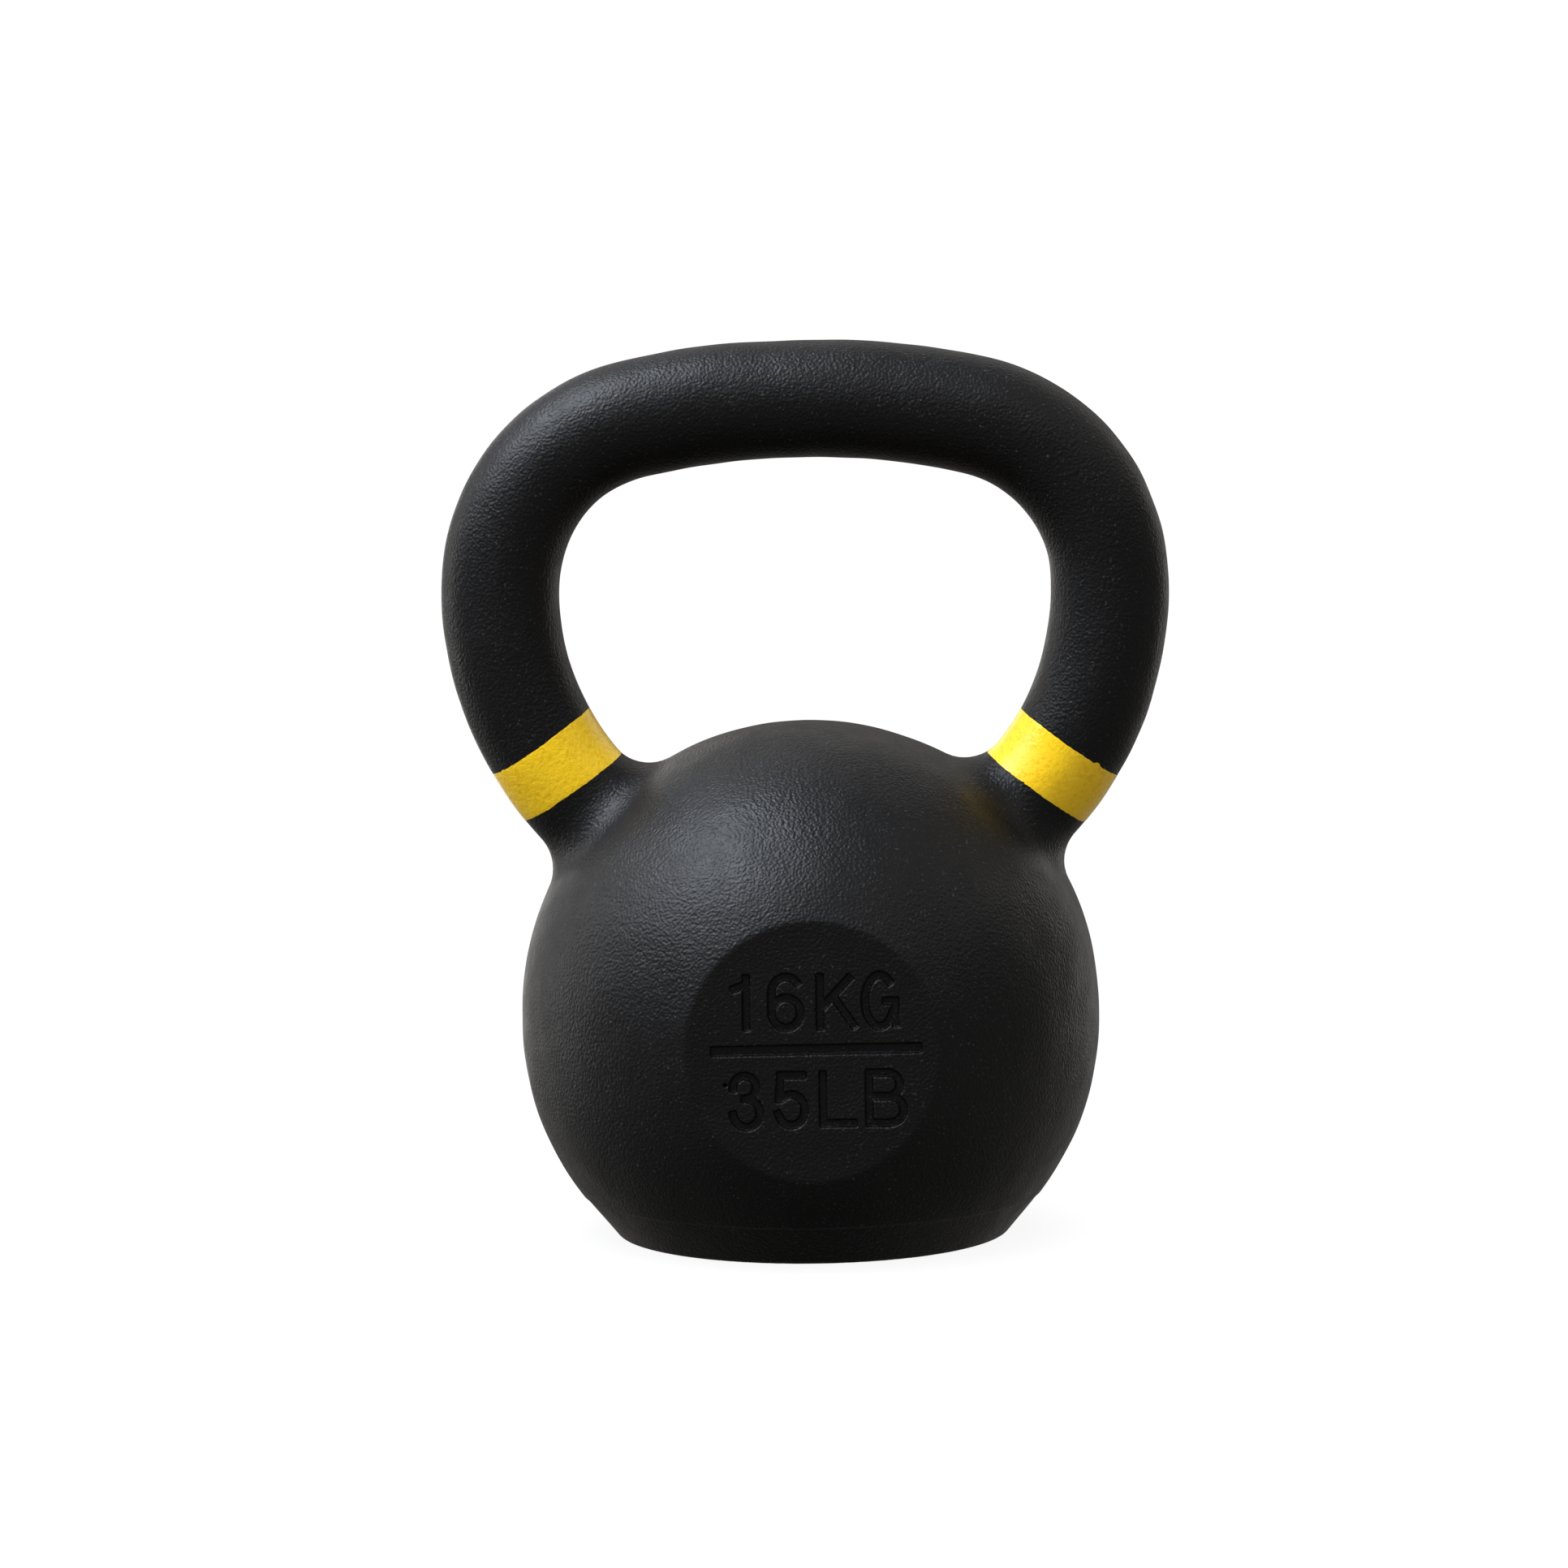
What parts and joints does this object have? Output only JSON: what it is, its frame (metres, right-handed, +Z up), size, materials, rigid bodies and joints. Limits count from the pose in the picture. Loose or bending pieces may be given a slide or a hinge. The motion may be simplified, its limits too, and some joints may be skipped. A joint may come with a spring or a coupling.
{
  "type": "kettlebell",
  "caption": "Cast-iron kettlebell: a ball-shaped weight with a flat base, a flat round marking face, a wide looped handle and a painted colour band on each horn.",
  "frame": {"origin": "middle of the flat base, on the floor the kettlebell stands on", "axes": "+Z up; the handle lies in the XZ plane; the flat marking face looks along -Y"},
  "size_m": [0.1956, 0.1489, 0.2421],
  "materials": {
    "bell_casting": "black powder coat, fine grain",
    "colour_band_left": "yellow paint, satin",
    "colour_band_right": "yellow paint, satin"
  },
  "bodies": {
    "root": {"bell_casting": "bell_casting", "colour_band_left": "colour_band_left", "colour_band_right": "colour_band_right"}
  },
  "joints": []
}
